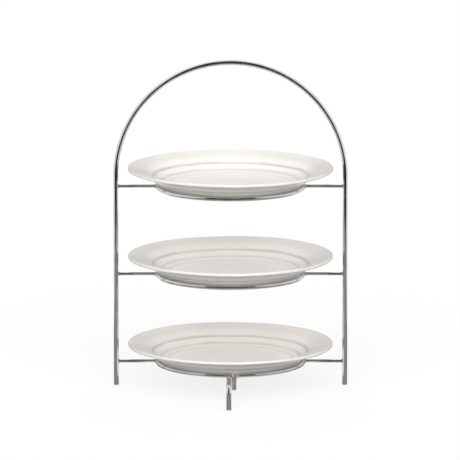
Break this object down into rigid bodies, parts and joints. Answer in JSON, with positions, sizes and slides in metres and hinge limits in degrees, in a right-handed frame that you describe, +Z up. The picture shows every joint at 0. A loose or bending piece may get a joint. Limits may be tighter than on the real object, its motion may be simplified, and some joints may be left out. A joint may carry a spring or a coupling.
{
  "type": "tiered cake stand",
  "caption": "Chrome wire stand under one tall arched handle, carrying loose ribbed white porcelain plates one above another in round rings, for cakes and sandwiches.",
  "frame": {"origin": "on the surface the stand rests on, at the centre of the arched handle", "axes": "+Z up along the legs; the arch lies in the XZ plane; -Y is the front, where the foot with the short rod end beside it stands; +X is to the right seen from the front"},
  "size_m": [0.3072, 0.3306, 0.4331],
  "materials": {
    "chrome_wire": "bright polished chrome plating on steel rod",
    "white_porcelain": "clear gloss glaze on warm white porcelain with raised concentric ribs"
  },
  "bodies": {
    "frame": {"handle_arch": "chrome_wire", "front_foot": "chrome_wire", "back_foot": "chrome_wire", "bottom_ring": "chrome_wire", "bottom_left_arm": "chrome_wire", "bottom_right_arm": "chrome_wire", "middle_ring": "chrome_wire", "middle_left_arm": "chrome_wire", "middle_right_arm": "chrome_wire", "top_ring": "chrome_wire", "top_left_arm": "chrome_wire", "top_right_arm": "chrome_wire"},
    "bottom_plate": {"bottom_plate": "white_porcelain"},
    "middle_plate": {"middle_plate": "white_porcelain"},
    "top_plate": {"top_plate": "white_porcelain"}
  },
  "joints": [
    {"name": "bottom_plate_lift", "type": "slide", "parent": "frame", "child": "bottom_plate", "axis": [0, 0, 1], "range_m": [0, 0.08]},
    {"name": "middle_plate_lift", "type": "slide", "parent": "frame", "child": "middle_plate", "axis": [0, 0, 1], "range_m": [0, 0.08]},
    {"name": "top_plate_lift", "type": "slide", "parent": "frame", "child": "top_plate", "axis": [0, 0, 1], "range_m": [0, 0.04]}
  ]
}
